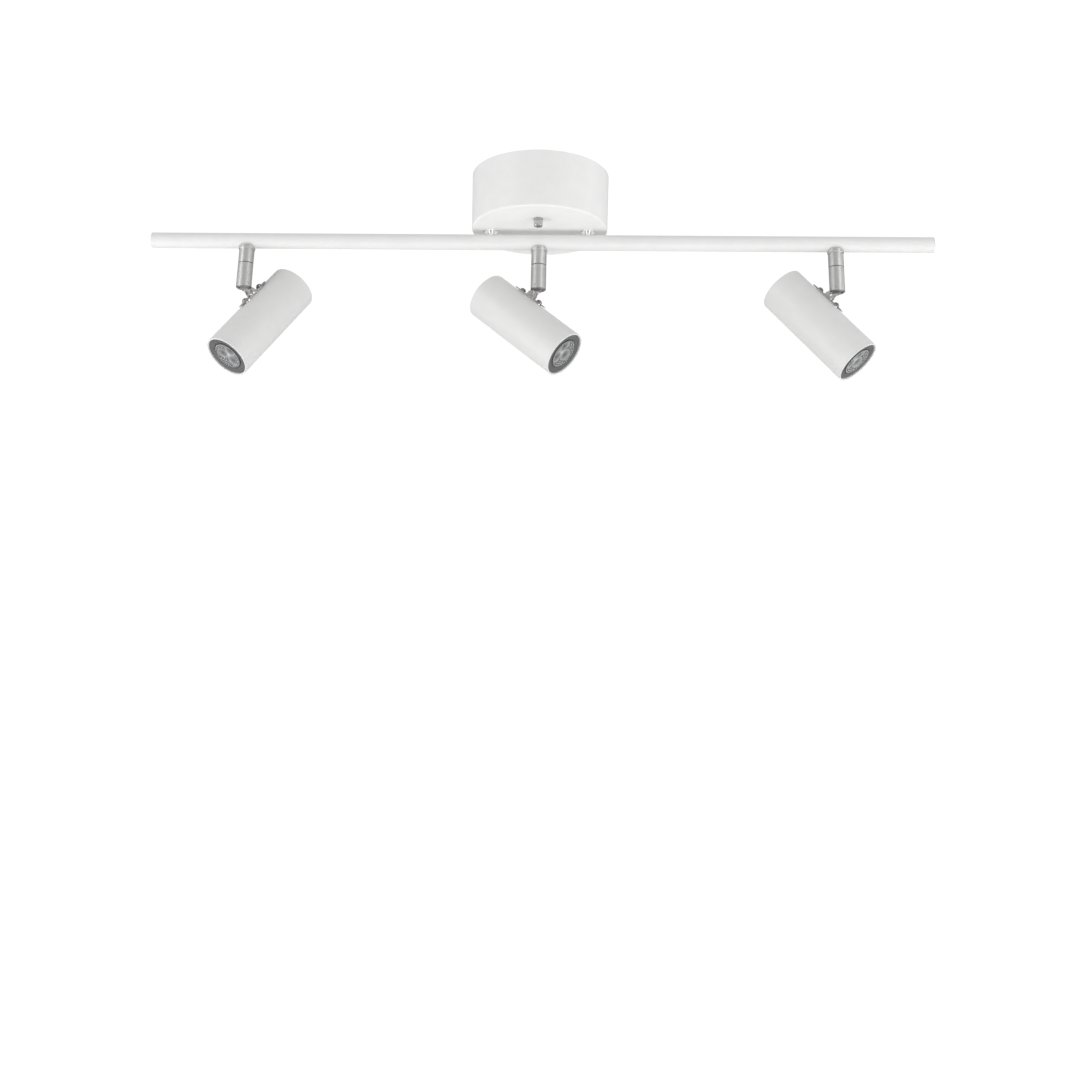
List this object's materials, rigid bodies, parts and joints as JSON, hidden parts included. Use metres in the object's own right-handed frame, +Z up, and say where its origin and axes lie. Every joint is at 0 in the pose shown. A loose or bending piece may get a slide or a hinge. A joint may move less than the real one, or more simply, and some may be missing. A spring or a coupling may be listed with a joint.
{
  "type": "ceiling spotlight bar",
  "caption": "Ceiling light with a round canopy, a long straight bar and cylindrical spotlights on stems that swivel and tilt.",
  "frame": {"origin": "centre of the ceiling bracket's top face, where the light meets the ceiling", "axes": "+Z up into the ceiling; +X along the bar; -Y towards the room side that the heads lean to"},
  "size_m": [0.9, 0.1584, 0.241],
  "materials": {
    "white_paint": "matt powder coat",
    "satin_nickel": "satin",
    "bright_nickel": "polished",
    "chrome": "polished",
    "zinc_steel": "zinc plated",
    "brass": "plain",
    "white_nylon": "moulded",
    "white_plastic": "moulded",
    "lead_sleeve": "silicone",
    "ceramic": "steatite",
    "lamp_plastic": "moulded",
    "lamp_ring": "satin",
    "lamp_lens": "clear optic over dark"
  },
  "bodies": {
    "frame": {"canopy_cup": "white_paint", "ceiling_bracket": "zinc_steel", "bracket_studs": "zinc_steel", "cap_nuts": "chrome", "cap_washers": "chrome", "terminal_block": "white_nylon", "terminal_screws": "zinc_steel", "earth_screw": "brass", "wiring": "lead_sleeve", "bar_tube": "white_paint", "bar_end_plugs": "white_plastic", "bar_spacers": "chrome", "bar_nipples": "zinc_steel", "nipple_nuts": "zinc_steel", "stem_nipples": "zinc_steel", "stem_collar_left": "satin_nickel", "stem_upper_left": "satin_nickel", "stem_collar_middle": "satin_nickel", "stem_upper_middle": "satin_nickel", "stem_collar_right": "satin_nickel", "stem_upper_right": "satin_nickel"},
    "swivel_left": {"stem_lower_left": "satin_nickel", "pivot_pin_left": "zinc_steel"},
    "head_left": {"knuckle_lug_left": "bright_nickel", "mount_plate_left": "bright_nickel", "mount_saddle_left": "bright_nickel", "plate_screws_left": "chrome", "head_tube_left": "white_paint", "rear_cap_left": "white_paint", "holder_bracket_left": "zinc_steel", "lamp_holder_left": "ceramic", "lamp_body_left": "lamp_plastic", "lamp_ring_left": "lamp_ring", "lamp_lens_left": "lamp_lens"},
    "swivel_middle": {"stem_lower_middle": "satin_nickel", "pivot_pin_middle": "zinc_steel"},
    "head_middle": {"knuckle_lug_middle": "bright_nickel", "mount_plate_middle": "bright_nickel", "mount_saddle_middle": "bright_nickel", "plate_screws_middle": "chrome", "head_tube_middle": "white_paint", "rear_cap_middle": "white_paint", "holder_bracket_middle": "zinc_steel", "lamp_holder_middle": "ceramic", "lamp_body_middle": "lamp_plastic", "lamp_ring_middle": "lamp_ring", "lamp_lens_middle": "lamp_lens"},
    "swivel_right": {"stem_lower_right": "satin_nickel", "pivot_pin_right": "zinc_steel"},
    "head_right": {"knuckle_lug_right": "bright_nickel", "mount_plate_right": "bright_nickel", "mount_saddle_right": "bright_nickel", "plate_screws_right": "chrome", "head_tube_right": "white_paint", "rear_cap_right": "white_paint", "holder_bracket_right": "zinc_steel", "lamp_holder_right": "ceramic", "lamp_body_right": "lamp_plastic", "lamp_ring_right": "lamp_ring", "lamp_lens_right": "lamp_lens"}
  },
  "joints": [
    {"name": "pan_left", "type": "hinge", "parent": "frame", "child": "swivel_left", "pos_m": [-0.338, 0, -0.1153], "axis": [0, 0, 1], "range_deg": [-175, 175]},
    {"name": "tilt_left", "type": "hinge", "parent": "swivel_left", "child": "head_left", "pos_m": [-0.338, 0, -0.1353], "axis": [0.6225, -0.7826, 0], "range_deg": [-53, 27]},
    {"name": "pan_middle", "type": "hinge", "parent": "frame", "child": "swivel_middle", "pos_m": [0, 0, -0.1153], "axis": [0, 0, 1], "range_deg": [-175, 175]},
    {"name": "tilt_middle", "type": "hinge", "parent": "swivel_middle", "child": "head_middle", "pos_m": [0, 0, -0.1353], "axis": [0.342, 0.9397, 0], "range_deg": [-39.5, 40.5]},
    {"name": "pan_right", "type": "hinge", "parent": "frame", "child": "swivel_right", "pos_m": [0.338, 0, -0.1153], "axis": [0, 0, 1], "range_deg": [-175, 175]},
    {"name": "tilt_right", "type": "hinge", "parent": "swivel_right", "child": "head_right", "pos_m": [0.338, 0, -0.1353], "axis": [0.309, 0.9511, 0], "range_deg": [-49, 31]}
  ]
}
